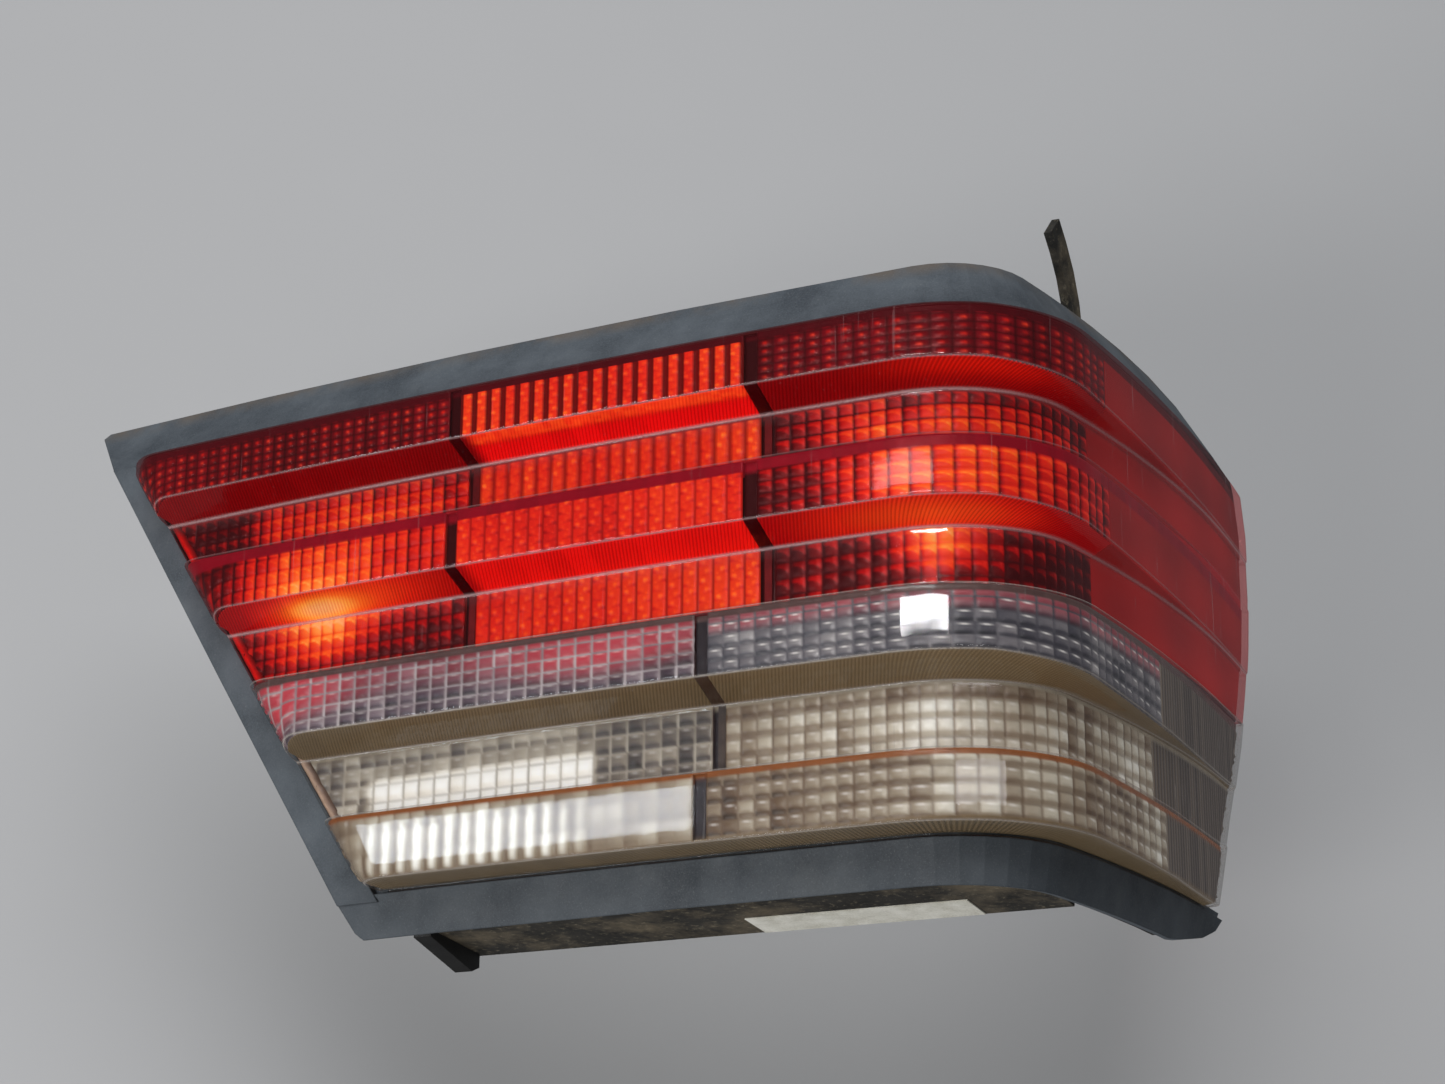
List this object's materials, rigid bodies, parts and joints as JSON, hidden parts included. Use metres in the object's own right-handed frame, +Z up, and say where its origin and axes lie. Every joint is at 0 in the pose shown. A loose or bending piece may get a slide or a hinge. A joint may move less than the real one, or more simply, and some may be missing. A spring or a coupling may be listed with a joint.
{
  "type": "vehicle tail light",
  "caption": "Wrap-around rear combination lamp with a stepped red and clear lens, slanted inner end, framing flange, bayonet bulbs on a removable carrier.",
  "frame": {"origin": "middle of the four fixing studs, in the plane of the rear wall's outer face", "axes": "+Z up in the car, -Y the way the lens faces, +X towards the slanted inner end, so the wrap-around end is at -X"},
  "size_m": [0.3986, 0.2374, 0.2454],
  "materials": {
    "housing_plastic": "weathered satin, slate blue-grey",
    "lens_red": "glossy red transparent plastic",
    "lens_clear": "glossy colourless transparent plastic, slightly yellowed",
    "rim_tan": "satin",
    "reflex_orange": "prismatic, orange-red",
    "amber": "gloss amber",
    "bright_metal": "vacuum-metallised, warm silver",
    "dark_plastic": "matte dark",
    "seal_rubber": "matte foam rubber",
    "carrier_plastic": "satin light grey",
    "brass": "satin",
    "steel": "zinc plated",
    "bulb_glass": "clear thin glass",
    "bulb_amber": "amber thin glass",
    "paper": "matte, creased"
  },
  "bodies": {
    "lamp": {"housing": "housing_plastic", "lens_red": "lens_red", "lens_clear": "lens_clear", "end_rim": "rim_tan", "divider_inner": "dark_plastic", "divider_outer": "dark_plastic", "divider_clear": "dark_plastic", "divider_level": "dark_plastic", "reflex_strip_one": "reflex_orange", "reflex_strip_two": "reflex_orange", "reflex_strip_three": "reflex_orange", "reflex_strip_four": "reflex_orange", "amber_strip_long": "amber", "amber_strip_short": "amber", "reflector_fog": "bright_metal", "reflector_reverse": "bright_metal", "reflector_turn": "bright_metal", "reflector_tail": "bright_metal", "wrap_liner": "bright_metal", "gasket_low": "seal_rubber", "gasket_wrap": "seal_rubber", "gasket_high": "seal_rubber", "gasket_inner": "seal_rubber", "seal_strip_end": "seal_rubber", "studs": "steel", "screw_bridge": "dark_plastic", "screw_posts": "dark_plastic", "label_blank": "paper", "locating_tab": "dark_plastic", "upper_shield": "dark_plastic"},
    "carrier": {"bulb_carrier": "carrier_plastic", "carrier_seal": "seal_rubber", "contact_strips": "brass", "plug_socket": "dark_plastic", "plug_pins": "brass", "socket_fog": "steel", "socket_reverse": "steel", "socket_turn": "steel", "socket_tail": "steel", "socket_brake": "steel"},
    "bulb_fog": {"bulb_base_fog": "brass", "bulb_glass_fog": "bulb_glass"},
    "bulb_reverse": {"bulb_base_reverse": "brass", "bulb_glass_reverse": "bulb_glass"},
    "bulb_turn": {"bulb_base_turn": "brass", "bulb_glass_turn": "bulb_amber"},
    "bulb_tail": {"bulb_base_tail": "brass", "bulb_glass_tail": "bulb_glass"},
    "bulb_brake": {"bulb_base_brake": "brass", "bulb_glass_brake": "bulb_glass"},
    "screw_inner": {"thumb_screw_inner": "dark_plastic"},
    "screw_outer": {"thumb_screw_outer": "dark_plastic"}
  },
  "joints": [
    {"name": "carrier_slide", "type": "slide", "parent": "lamp", "child": "carrier", "axis": [0, 1, 0], "range_m": [0, 0.045]},
    {"name": "bulb_fog_twist", "type": "hinge", "parent": "carrier", "child": "bulb_fog", "pos_m": [0.123, 0.005, -0.025], "axis": [0, 1, 0], "range_deg": [0, 25]},
    {"name": "bulb_reverse_twist", "type": "hinge", "parent": "carrier", "child": "bulb_reverse", "pos_m": [0.025, 0.005, 0.041], "axis": [0, 1, 0], "range_deg": [0, 25]},
    {"name": "bulb_turn_twist", "type": "hinge", "parent": "carrier", "child": "bulb_turn", "pos_m": [-0.085, 0.005, 0.041], "axis": [0, 1, 0], "range_deg": [0, 25]},
    {"name": "bulb_tail_twist", "type": "hinge", "parent": "carrier", "child": "bulb_tail", "pos_m": [-0.085, 0.005, -0.011], "axis": [0, 1, 0], "range_deg": [0, 25]},
    {"name": "bulb_brake_twist", "type": "hinge", "parent": "carrier", "child": "bulb_brake", "pos_m": [-0.085, 0.005, -0.0425], "axis": [0, 1, 0], "range_deg": [0, 25]},
    {"name": "screw_inner_turn", "type": "hinge", "parent": "carrier", "child": "screw_inner", "pos_m": [0.033, 0.005, -0.03], "axis": [0, 1, 0], "continuous": true},
    {"name": "screw_outer_turn", "type": "hinge", "parent": "carrier", "child": "screw_outer", "pos_m": [-0.035, 0.005, -0.03], "axis": [0, 1, 0], "continuous": true}
  ]
}
